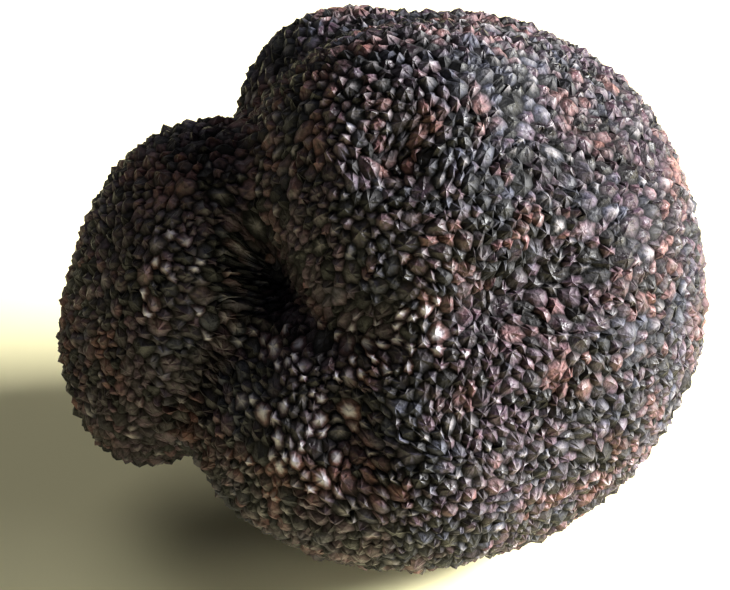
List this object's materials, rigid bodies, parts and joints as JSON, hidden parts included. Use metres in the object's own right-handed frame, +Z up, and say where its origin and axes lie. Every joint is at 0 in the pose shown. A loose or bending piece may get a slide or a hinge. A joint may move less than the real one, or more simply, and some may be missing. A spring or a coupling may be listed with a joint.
{
  "type": "truffle",
  "caption": "Black truffle: a firm lobed lump with a deep crease and a dark rind of small pyramid-shaped warts, lying on a small flat spot.",
  "frame": {"origin": "on the plane of the flat spot that it rests on, under the middle of its bounding box", "axes": "+Z up, +X to the right and +Y away from the viewer as in the picture, so the side lobe is at -X"},
  "size_m": [0.0618, 0.0558, 0.0542],
  "materials": {
    "rind": "matt, dry and warty, black with a purple-brown cast"
  },
  "bodies": {
    "root": {"truffle": "rind"}
  },
  "joints": []
}
